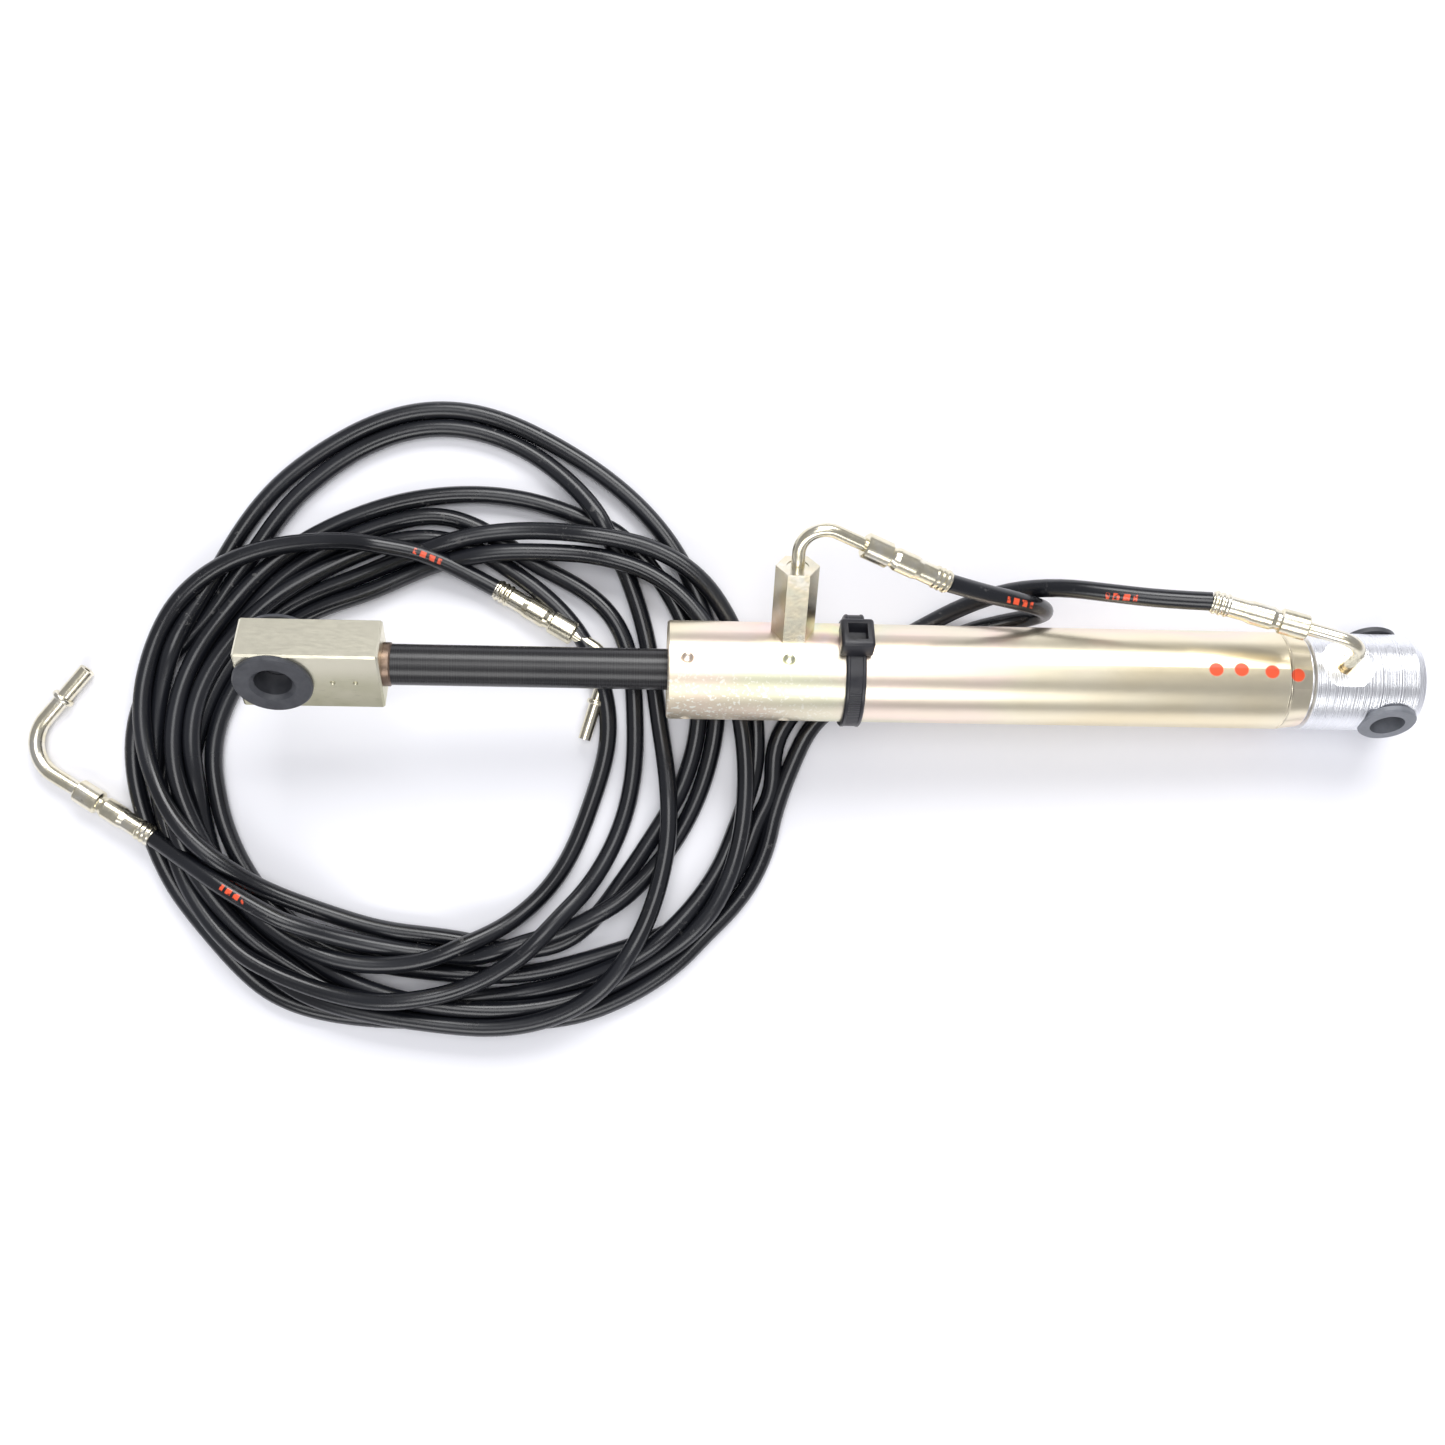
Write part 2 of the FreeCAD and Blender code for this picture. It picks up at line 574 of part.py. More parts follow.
def fitting(prefix, start, direction):
    """A collar and a crimped ferrule in one line. Returns the ferrule's mouth."""
    seat = facing(start, direction)
    turned(prefix + "_collar", (
        ("flow_radius", "0"),
        ("collar_radius - edge_break", "0"),
        ("collar_radius", "edge_break"),
        ("collar_radius", "collar_length - edge_break"),
        ("collar_radius - edge_break", "collar_length"),
        ("flow_radius", "collar_length"),
    ), seat)
    rings = []
    for ring in range(3):
        near = f"ferrule_length - {3 - ring} * ring_pitch"
        rings += [("ferrule_waist", near), ("ferrule_radius", near + " + edge_break"),
                  ("ferrule_radius", near + " + 2 * edge_break"),
                  ("ferrule_waist", near + " + 3 * edge_break")]
    turned(prefix + "_ferrule", (
        ("flow_radius", "0"),
        ("ferrule_neck", "0"),
        ("ferrule_neck", "2 * edge_break"),
        ("ferrule_radius", "ferrule_shoulder + edge_break"),
        ("ferrule_radius", "ferrule_length / 2 - ring_pitch"),
        ("ferrule_waist", "ferrule_length / 2"),
        *rings,
        ("ferrule_waist", "ferrule_length"),
        ("flow_radius", "ferrule_length"),
    ), seat * Placement(Vector(0, 0, mm("collar_length")), Rotation()))
    return start + direction * (mm("collar_length") + mm("ferrule_length"))


def port_elbow(prefix, frame, rim, rise, turn, reach, swing, depth, sleeve):
    """A bent steel tube from a port to its hose fitting. Returns the ferrule's mouth and direction."""
    out = frame.Rotation.multVec(UPWARD)
    along = frame.Rotation.multVec(Rotation(UPWARD, swing).multVec(AXIAL))
    foot = frame.multVec(Vector(rim - depth, 0, 0))
    leg = mm("elbow_bend") * math.tan(math.radians(turn) / 2)
    corner = frame.multVec(Vector(rim + rise + leg, 0, 0))
    heading = out * math.cos(math.radians(turn)) + along * math.sin(math.radians(turn))
    end = corner + heading * (leg + reach)
    plain_piece(prefix + "_elbow_tube", tube(prefix + "_elbow_tube", [foot, corner, end],
                                             mm("elbow_radius"), mm("elbow_bend"), mm("flow_radius")))
    seat = facing(frame.multVec(Vector(rim, 0, 0)), out)
    turned(prefix + "_port_sleeve", (
        ("elbow_radius + fit_gap", "0 - " + sleeve),
        ("sleeve_radius", "0 - " + sleeve),
        ("sleeve_radius", "0 - edge_break / 2"),
        ("elbow_radius + fit_gap", "0 - edge_break / 2"),
    ), seat)
    ring_seal(prefix + "_port_o_ring", "(elbow_radius + port_hole) / 2",
              "(port_hole - elbow_radius) / 2 - fit_gap", "0 - " + sleeve + " - 2 * edge_break", seat)
    mouth = fitting(prefix + "_hose", end, heading)
    return mouth, heading


def ports():
    front = rolled(mm("front_port_roll")) * Placement(Vector(0, 0, mm("front_port_station")),
                                                      Rotation(UPWARD, 180))
    rear = rolled(mm("rear_port_roll")) * Placement(Vector(0, 0, mm("rear_port_station")), Rotation())
    return (
        port_elbow("front", front, mm("boss_rim"), mm("front_rise"), mm("front_turn"),
                   mm("front_reach"), 0.0, mm("spigot_depth"), "sleeve_length"),
        port_elbow("rear", rear, mm("spot_face"), mm("rear_rise"), mm("rear_turn"),
                   mm("rear_reach"), -mm("rear_swing"), mm("rear_spigot_depth"),
                   "rear_sleeve_length"),
    )


# ---------------------------------------------------------------- hoses

def free_end(prefix, tube_points, line, radius, bend, bead_radius, bead_at):
    """A hose's free end: a bent nipple tube with a bead, its collar and its ferrule."""
    points = [on_bench(point) for point in tube_points]
    pipe = tube(prefix + "_tube", points, radius, bend, mm("flow_radius"))
    back = (points[1] - points[0]).normalize()
    bead = Part.makeCylinder(bead_radius, mm("bead_width"), points[0] + back * bead_at, back)
    bead = bead.makeFillet(mm("bead_round"), bead.Edges[:1] + bead.Edges[2:3])
    hole = Part.makeCylinder(mm("flow_radius"), 2 * mm("bead_width"), points[0] + back * bead_at, back)
    plain_piece(prefix + "_tube", pipe.fuse(bead.cut(hole)).removeSplitter())
    start, far = (on_bench(point) for point in line)
    return fitting(prefix, start, (far - start).normalize())


def hoses(front_mouth, rear_mouth):
    leads = (("hose_a_lead", front_mouth, LEAD_A), ("hose_b_lead", rear_mouth, LEAD_B))
    for name, (mouth, heading), points in leads:
        route = [mouth] + [on_bench(point) for point in points]
        plain_piece(name, tube(name, route, mm("hose_radius")))
    end_a = free_end("end_a", END_A_TUBE, END_A_LINE, mm("end_a_radius"), mm("end_a_bend"),
                     mm("bead_radius"), BEAD_A)
    end_b = free_end("end_b", END_B_TUBE, END_B_LINE, mm("end_b_radius"), mm("end_b_bend"),
                     mm("bead_b_radius"), BEAD_B)
    for name, mouth, points in (("hose_a_tail", end_a, TAIL_A), ("hose_b_tail", end_b, TAIL_B)):
        route = [mouth] + [on_bench(point) for point in points[1:]]
        plain_piece(name, tube(name, route, mm("hose_radius")))


def closed_outline(points):
    curve = Part.BSplineCurve()
    floor = [on_bench((across, along, 0)) for across, along in points]
    curve.interpolate(floor, PeriodicFlag=True)
    return Part.Wire(curve.toShape())


def hose_coil():
    """The outer shape of both hoses' turns: one flat ring, piled higher on the side away from the barrel."""
    outside = Part.Face(closed_outline(COIL_OUTSIDE))
    inside = Part.Face(closed_outline(COIL_INSIDE))

    def ring(height):
        rise = Vector(0, 0, height)
        return outside.extrude(rise).cut(inside.extrude(rise))

    span = mm("pile_span")
    side = Part.makeBox(span, span, span, Vector(mm("pile_edge") - span, -span / 2, -span / 2))
    pile = ring(mm("pile_height")).common(side)
    plain_piece("hose_coil", ring(mm("coil_height")).fuse(pile).removeSplitter())


# ---------------------------------------------------------------- cable tie

def cable_tie():
    frame = rolled(mm("tie_roll"))
    seat = frame * Placement(Vector(0, 0, mm("tie_station") - mm("tie_width") / 2), Rotation())
    band = cylinder("tie_band", "barrel_radius + tie_thick", "tie_width", seat)
    corner = Vector(mm("barrel_radius"), -mm("tie_head_width") / 2,
                    mm("tie_station") - mm("tie_head_length") / 2)
    head = box("tie_head", ("tie_head_height", "tie_head_width", "tie_head_length"),
               frame * Placement(corner, Rotation()))
    both = doc.addObject("Part::MultiFuse", "tie_body")
    both.Shapes = [band, head]
    barrel = cylinder("tie_inside", "barrel_radius + skin_gap", "barrel_front", CYLINDER)
    cut("cable_tie", both, [barrel])


barrel_tube()
front_port_boss()
front_gland()
piston()
rod()
rod_eye()
rear_cap()
front_mouth, rear_mouth = ports()
hoses(front_mouth, rear_mouth)
hose_coil()
cable_tie()

doc.recompute()
broken = [item.Name for item in doc.Objects if "Invalid" in item.State or "Error" in item.State]
if broken:
    raise SystemExit("failed objects: " + ", ".join(broken))
os.makedirs("parts", exist_ok=True)
for piece in pieces:
    shape = piece.Shape
    if shape.isNull() or not shape.isValid() or not shape.Solids:
        raise SystemExit("bad shape: " + piece.Label)
    shape.exportStep(f"parts/{piece.Label}.step")
    print(f"{piece.Label}: {len(shape.Solids)} solid, {shape.Volume:.0f} mm3")
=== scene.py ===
import math

import bpy
import numpy as np
from mathutils import Matrix, Vector


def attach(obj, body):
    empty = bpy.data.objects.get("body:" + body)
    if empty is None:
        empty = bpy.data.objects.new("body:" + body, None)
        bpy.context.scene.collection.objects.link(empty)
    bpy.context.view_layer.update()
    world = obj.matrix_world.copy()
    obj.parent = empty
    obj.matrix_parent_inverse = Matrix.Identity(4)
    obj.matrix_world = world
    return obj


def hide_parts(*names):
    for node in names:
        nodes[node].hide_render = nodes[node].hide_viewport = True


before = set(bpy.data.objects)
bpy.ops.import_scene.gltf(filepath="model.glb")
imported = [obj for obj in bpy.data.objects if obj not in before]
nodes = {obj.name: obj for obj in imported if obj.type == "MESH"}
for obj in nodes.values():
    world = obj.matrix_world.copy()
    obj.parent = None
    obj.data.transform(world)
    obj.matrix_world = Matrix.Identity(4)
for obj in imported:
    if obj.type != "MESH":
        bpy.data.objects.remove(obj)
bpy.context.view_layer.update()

MM = 0.001
EYE_HEIGHT = 13.25          # the row's origin is this far above the bench
HOSE_RADIUS = 2.25
LEAN = math.radians(3.1)


def on_bench(x, y, height):
    """A point of the bench in mm, in the row frame's mm."""
    return Vector((x, y, height - EYE_HEIGHT))


# ------------------------------------------------------------------ camera

camera_data = bpy.data.cameras.new("camera")
camera = bpy.data.objects.new("camera", camera_data)
bpy.context.scene.collection.objects.link(camera)
camera_data.sensor_width = 36
camera_data.lens = 39.86
camera.location = Vector((-162.8, -12.7, 398.75)) * MM
camera.rotation_euler = (0, 0, math.radians(0.954))
bpy.context.scene.camera = camera
bpy.context.scene.view_settings.view_transform = "Standard"


# ------------------------------------------------------------------ hoses

FRONT_MOUTH = Vector((-110.1, 21.18, 21.37))
REAR_MOUTH = Vector((-46.67, 18.09, 17.53))
END_A_MOUTH = Vector((-307.48, -44.35, -8.88))
END_B_MOUTH = Vector((-221.06, 20.46, -10.25))

LEAD_A = (
    (-101.5, 19.3, 30.2), (-92.5, 18.0, 25.3), (-85.3, 17.0, 18.8), (-82.0, 16.2, 11.2),
    (-85.2, 15.2, 5.0), (-92.5, 13.8, 2.6), (-101.0, 11.5, 2.5), (-111.5, 6.4, 2.4),
    (-122.5, -0.2, 2.4), (-132.8, -6.6, 2.4), (-140.4, -13.2, 2.4), (-144.8, -22.8, 2.4),
)
LEAD_B = (
    (-57.5, 18.6, 28.8), (-69.5, 20.1, 25.8), (-81.0, 21.8, 20.9), (-92.0, 21.4, 13.2),
    (-102.0, 18.0, 6.4), (-112.0, 12.6, 2.9), (-124.0, 5.6, 2.4), (-136.5, -1.8, 2.4),
    (-144.8, -9.5, 2.4), (-149.8, -18.5, 2.4),
)
TAIL_A = ((-286.5, -56.3, 12.4), (-295.5, -51.0, 9.6))
TAIL_B = ((-240.0, 29.2, 6.8), (-230.0, 25.2, 4.2))

# Each turn's radius in mm at twelve places, clockwise from the barrel's side, and under it how high
# the turn lies in the pile there: a turn rests on those with a smaller number.
COIL_CENTRE = (-235.0, -13.5)
COIL_TWIST = math.radians(0.95)
TURNS_A = (
    ((90.6, 85.7, 80, 76.3, 79.3, 79, 78, 63, 69, 77, 69, 58.5),
     (1, 1, 1, 1, 1, 1, 1, 2, 3, 3, 4, 6)),
    ((56, 67, 80, 76, 77, 71.5, 61.5, 50, 42.5, 45, 55.7, 75),
     (9, 9, 9, 7, 5, 4, 4, 5, 7, 8, 8, 8)),
    ((81, 84, 76.5, 72, 74, 72.5, 65, 56.5, 52.5, 52.5, 47, 51.5),
     (2, 2, 3, 3, 3, 5, 6, 7, 5, 4, 3, 3)),
    ((49.8, 53.5, 60, 69.5, 75, 75.5, 72.5, 68.5, 74, 78, 75.5, 74),
     (5, 8, 9, 9, 7, 3, 3, 3, 4, 5, 6, 4)),
)
LAST_A = ((70.5, 67, 62, 58.5, 61, 69), (4, 5, 6, 7, 8, 9))
TURNS_B = (
    ((86.7, 86, 72.5, 64.5, 65, 62, 57.6, 48, 38, 40.5, 49.5, 68.5),
     (3, 2, 2, 2, 2, 2, 3, 4, 6, 7, 7, 7)),
    ((77, 83, 81, 73, 72, 69.5, 63, 54, 49.5, 46, 42, 42),
     (3, 4, 4, 5, 4, 4, 5, 6, 3, 2, 4, 5)),
    ((43, 44.2, 51.8, 60.2, 67, 67, 66, 61, 55.5, 57.5, 62, 66.8),
     (6, 7, 8, 9, 6, 6, 6, 7, 6, 5, 3, 3)),
)
LAST_B = ((66.3, 61.8, 64, 56.5, 57, 66.5, 74.8, 70, 52.6, 40), (3, 4, 5, 6, 8, 10, 10, 10, 10, 10))
SLICES = 120                # places round a turn where the settling is worked out


def rounded_way(values, place):
    """A smooth curve through evenly spaced values."""
    index = min(int(place), len(values) - 2)
    part = place - index
    before = values[max(index - 1, 0)]
    here, after = values[index], values[index + 1]
    beyond = values[min(index + 2, len(values) - 1)]
    rise = (after - before) / 2
    fall = (beyond - here) / 2
    square, cube = part * part, part * part * part
    return (here * (2 * cube - 3 * square + 1) + rise * (cube - 2 * square + part)
            + after * (3 * square - 2 * cube) + fall * (cube - square))


def strand(turns, last, first_angle, last_angle, first_height, last_height):
    """A hose's turns as slices: which slice, the wanted radius, a first height, and the held ends."""
    radii = [value for turn in (*turns, last) for value in turn[0]]
    order = [value for turn in (*turns, last) for value in turn[1]]
    per_twelfth = SLICES / 12
    steps = range(math.ceil(first_angle / 30 * per_twelfth),
                  math.floor((len(turns) * 360 + last_angle) / 30 * per_twelfth) + 1)
    wanted = np.array([rounded_way(radii, step / per_twelfth) for step in steps])
    height = np.array([HOSE_RADIUS + 1.6 * rounded_way(order, step / per_twelfth) for step in steps])
    height[:2], height[-2:] = first_height, last_height
    return {"slice": np.array([step % SLICES for step in steps]), "wanted": wanted, "height": height}


def settled(strands):
    """Lets the turns sink until they rest on the bench and on each other."""
    where = np.concatenate([s["slice"] for s in strands])
    wanted = np.concatenate([s["wanted"] for s in strands])
    radius, height = wanted.copy(), np.concatenate([s["height"] for s in strands])
    angle = 2 * math.pi * where / SLICES - COIL_TWIST
    starts = np.cumsum([0] + [len(s["slice"]) for s in strands])
    held = np.zeros(len(where), bool)
    for low, high in zip(starts, starts[1:]):
        held[[low, low + 1, high - 2, high - 1]] = True
    ends = height[held], radius[held]
    pairs = [(a, b) for place in range(SLICES)
             for found in [np.flatnonzero(where == place)]
             for a in found for b in found if a < b]
    one, other = np.array(pairs).T
    apart = 2 * HOSE_RADIUS * 1.02
    for turn in range(900):
        sinking = 0.10 if turn < 600 else 0.03
        height -= sinking
        radius += 0.04 * (wanted - radius)
        for low, high in zip(starts, starts[1:]):
            height[low:high] = eased(height[low:high])
            radius[low:high] = wanted[low:high] + eased(radius[low:high] - wanted[low:high])
        for _ in range(3):
            across = radius[one] - radius[other]
            up = height[one] - height[other]
            gap = np.hypot(across, up) + 1e-6
            push = np.maximum(apart - gap, 0) / gap / 2
            touch = push > 0
            share = np.bincount(one, touch, len(where)) + np.bincount(other, touch, len(where))
            share = np.maximum(share, 1) * 0.6 + 0.4
            for line, move in ((radius, across * push), (height, up * push)):
                line += (np.bincount(one, move, len(where)) - np.bincount(other, move, len(where))) / share
            height = np.maximum(height, HOSE_RADIUS)
        height[held], radius[held] = ends
    x = COIL_CENTRE[0] + radius * np.cos(angle)
    y = COIL_CENTRE[1] - radius * np.sin(angle)
    return [np.stack([x[a:b], y[a:b], height[a:b]], 1) for a, b in zip(starts, starts[1:])]


def eased(line):
    """The line a little straighter, as a stiff hose pulls itself."""
    bend = np.zeros(len(line))
    bend[1:-1] = (line[:-2] + line[2:]) / 2 - line[1:-1]
    return line + 0.45 * bend


def hose(name, mouth, lead, coil, tail, end):
    points = [mouth] + [on_bench(*point) for point in lead]
    points += [on_bench(*point) for point in coil[::2]]
    points += [on_bench(*point) for point in tail] + [end]
    data = bpy.data.curves.new(name, "CURVE")
    data.dimensions = "3D"
    spline = data.splines.new("NURBS")
    spline.points.add(len(points) - 1)
    for knot, point in zip(spline.points, points):
        knot.co = (*(point * MM), 1)
    spline.order_u = 3
    spline.use_endpoint_u = True
    data.resolution_u = 4
    line = shaped(data)
    path = [point.co.copy() for point in line.vertices]
    bpy.data.meshes.remove(line)
    data.bevel_depth = HOSE_RADIUS * MM
    data.bevel_resolution = 5
    data.use_fill_caps = True
    made = bpy.data.objects.new(name, shaped(data))
    for face in made.data.polygons:
        face.use_smooth = True
    bpy.context.scene.collection.objects.link(made)
    bpy.data.curves.remove(data)
    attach(made, "barrel")
    return made, path


def shaped(curve):
    """The mesh that Blender makes of a curve: its line, or its tube once it has a bevel."""
    holder = bpy.data.objects.new("route", curve)
    bpy.context.scene.collection.objects.link(holder)
    made = bpy.data.meshes.new_from_object(holder.evaluated_get(bpy.context.evaluated_depsgraph_get()))
    bpy.data.objects.remove(holder)
    return made


coil_a, coil_b = settled((
    strand(TURNS_A, LAST_A, 13.5, 131, 2.4, 12.8),
    strand(TURNS_B, LAST_B, 10, 252, 2.4, 9.0),
))
hose_a, path_a = hose("hose_a", FRONT_MOUTH, LEAD_A, coil_a, TAIL_A, END_A_MOUTH)
hose_b, path_b = hose("hose_b", REAR_MOUTH, LEAD_B, coil_b, TAIL_B, END_B_MOUTH)
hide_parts("hose_a_lead", "hose_a_tail", "hose_coil")
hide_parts("hose_b_lead", "hose_b_tail", "hose_coil")

# ------------------------------------------------------------------ materials


class Paint:
    """A procedural material in short calls: each returns a socket to feed the next one."""

    def __init__(self, name, **values):
        self.material = bpy.data.materials.new(name)
        self.material.use_nodes = True
        self.tree = self.material.node_tree
        self.shader = self.tree.nodes["Principled BSDF"]
        self.place = self.node("ShaderNodeTexCoord").outputs["Object"]
        for socket, value in values.items():
            self.shader.inputs[socket.replace("_", " ")].default_value = value

    def node(self, kind, **settings):
        made = self.tree.nodes.new(kind)
        for key, value in settings.items():
            setattr(made, key, value)
        return made

    def give(self, socket, value):
        if isinstance(value, bpy.types.NodeSocket):
            self.tree.links.new(value, socket)
        else:
            socket.default_value = value

    def noise(self, scale, detail=3.0, rough=0.5, stretch=None, offset=(0, 0, 0), turned=(0, 0, 0)):
        place = self.place
        if stretch or any(offset) or any(turned):
            mapping = self.node("ShaderNodeMapping")
            mapping.inputs["Scale"].default_value = stretch or (1, 1, 1)
            mapping.inputs["Location"].default_value = offset
            mapping.inputs["Rotation"].default_value = turned
            self.tree.links.new(place, mapping.inputs["Vector"])
            place = mapping.outputs["Vector"]
        made = self.node("ShaderNodeTexNoise")
        self.tree.links.new(place, made.inputs["Vector"])
        made.inputs["Scale"].default_value = scale
        made.inputs["Detail"].default_value = detail
        made.inputs["Roughness"].default_value = rough
        return made.outputs["Fac"]

    def ramp(self, factor, *stops):
        made = self.node("ShaderNodeValToRGB")
        self.tree.links.new(factor, made.inputs["Fac"])
        steps = made.color_ramp.elements
        while len(steps) < len(stops):
            steps.new(0.5)
        for step, (place, colour) in zip(steps, stops):
            step.position = place
            step.color = (*colour, 1) if isinstance(colour, tuple) else (colour, colour, colour, 1)
        return made.outputs["Color"]

    def mix(self, factor, first, second, blend="MIX"):
        made = self.node("ShaderNodeMix", data_type="RGBA", blend_type=blend)
        self.give(made.inputs[0], factor)
        self.give(made.inputs[6], first if isinstance(first, bpy.types.NodeSocket) else (*first, 1))
        self.give(made.inputs[7], second if isinstance(second, bpy.types.NodeSocket) else (*second, 1))
        return made.outputs[2]

    def maths(self, operation, first, second=0.0, third=0.0):
        made = self.node("ShaderNodeMath", operation=operation)
        for socket, value in zip(made.inputs, (first, second, third)):
            self.give(socket, value)
        return made.outputs[0]

    def span(self, value, low, high, to_low=0.0, to_high=1.0, smooth=True):
        made = self.node("ShaderNodeMapRange", interpolation_type="SMOOTHSTEP" if smooth else "LINEAR")
        self.give(made.inputs["Value"], value)
        for socket, number in zip(("From Min", "From Max", "To Min", "To Max"), (low, high, to_low, to_high)):
            made.inputs[socket].default_value = number
        return made.outputs["Result"]

    def bump(self, height, distance, strength=1.0, under=None):
        made = self.node("ShaderNodeBump")
        made.inputs["Strength"].default_value = strength
        made.inputs["Distance"].default_value = distance
        self.tree.links.new(height, made.inputs["Height"])
        if under:
            self.tree.links.new(under, made.inputs["Normal"])
        return made.outputs["Normal"]

    def set(self, **sockets):
        for name, value in sockets.items():
            self.give(self.shader.inputs[name.replace("_", " ")], value)
        return self.material


# The cylinder's own frame, as in the CAD: its axis, and the directions across it.
AXIS = Vector((-math.cos(LEAN), 0, math.sin(LEAN)))
UP = Vector((math.sin(LEAN), 0, math.cos(LEAN)))
CYLINDER = Matrix((
    (UP.x, 0, AXIS.x, -6.5 * AXIS.x * MM), (UP.y, 1, AXIS.y, 0),
    (UP.z, 0, AXIS.z, -6.5 * AXIS.z * MM), (0, 0, 0, 1),
))


class Turned(Paint):
    """A material that knows where it is on the cylinder, in mm."""

    def __init__(self, name, **values):
        super().__init__(name, **values)
        self.station = self.maths("MULTIPLY_ADD", self.along(AXIS), 1000, 6.5)
        self.up = self.maths("MULTIPLY", self.along(UP), 1000)
        self.side = self.maths("MULTIPLY", self.along((0, 1, 0)), 1000)
        self.roll = self.maths("ARCTAN2", self.side, self.up)

    def along(self, direction):
        made = self.node("ShaderNodeVectorMath", operation="DOT_PRODUCT")
        self.tree.links.new(self.place, made.inputs[0])
        made.inputs[1].default_value = direction
        return made.outputs["Value"]

    def lines(self, scale, detail=2.0):
        """Turning lines: noise that only changes along the cylinder."""
        made = self.node("ShaderNodeTexNoise", noise_dimensions="1D")
        self.tree.links.new(self.station, made.inputs["W"])
        made.inputs["Scale"].default_value = scale
        made.inputs["Detail"].default_value = detail
        return made.outputs["Fac"]


def spot(paint, x, y, along=1.7, across=1.7, angle=0.0, soft=0.25, repeat=0.0):
    """A mark seen from above at x, y in mm: an oval, or a row of dashes."""
    sides = paint.node("ShaderNodeSeparateXYZ")
    paint.tree.links.new(paint.place, sides.inputs[0])
    dx = paint.maths("MULTIPLY_ADD", sides.outputs["X"], 1000, -x)
    dy = paint.maths("MULTIPLY_ADD", sides.outputs["Y"], 1000, -y)
    turn, lean = math.cos(math.radians(angle)), math.sin(math.radians(angle))
    run = paint.maths("ADD", paint.maths("MULTIPLY", dx, turn), paint.maths("MULTIPLY", dy, lean))
    aside = paint.maths("SUBTRACT", paint.maths("MULTIPLY", dy, turn), paint.maths("MULTIPLY", dx, lean))
    above = paint.span(sides.outputs["Z"], -0.0062, -0.0055)
    if not repeat:
        reach = paint.maths("SQRT", paint.maths(
            "ADD", paint.maths("POWER", paint.maths("ABSOLUTE", paint.maths("DIVIDE", run, along)), 2.0),
            paint.maths("POWER", paint.maths("ABSOLUTE", paint.maths("DIVIDE", aside, across)), 2.0)))
        return paint.maths("MULTIPLY", paint.span(reach, 1 + soft / 2, 1 - soft / 2), above)
    inside = paint.span(paint.maths("ABSOLUTE", run), along + 0.1, along - 0.1)
    narrow = paint.span(paint.maths("ABSOLUTE", aside), across + 0.1, across - 0.1)
    phase = paint.maths("FRACT", paint.maths("ADD", paint.maths("DIVIDE", run, repeat), 20.0))
    dash = paint.span(paint.maths("ABSOLUTE", paint.maths("SUBTRACT", phase, 0.5)), 0.36, 0.30)
    return paint.maths("MULTIPLY", paint.maths("MULTIPLY", inside, narrow),
                       paint.maths("MULTIPLY", dash, above))


ORANGE = (0.85, 0.10, 0.035)


def hose_black(marks):
    paint = Paint("hose_black", Specular_IOR_Level=0.62)
    patch = paint.noise(38, 2)
    colour = paint.ramp(patch, (0.35, (0.0045, 0.005, 0.007)), (0.7, (0.009, 0.010, 0.014)))
    dust = paint.maths("MULTIPLY", paint.span(paint.noise(420, 4, 0.6), 0.60, 0.74),
                       paint.span(paint.noise(21, 2), 0.50, 0.68, 0, 0.55))
    colour = paint.mix(dust, colour, (0.16, 0.155, 0.15))
    for x, y, angle in marks:
        worn = paint.span(paint.noise(600, 2), 0.38, 0.5)
        mark = spot(paint, x, y, 3.6, 0.75, angle, repeat=2.3)
        colour = paint.mix(paint.maths("MULTIPLY", mark, worn), colour, ORANGE)
    rough = paint.maths("MAXIMUM", paint.span(patch, 0.3, 0.7, 0.20, 0.30), paint.span(dust, 0, 0.5, 0.2, 0.6))
    fine = paint.noise(700, 2)
    return paint.set(Base_Color=colour, Roughness=rough, Normal=paint.bump(fine, 0.00004, 0.35))


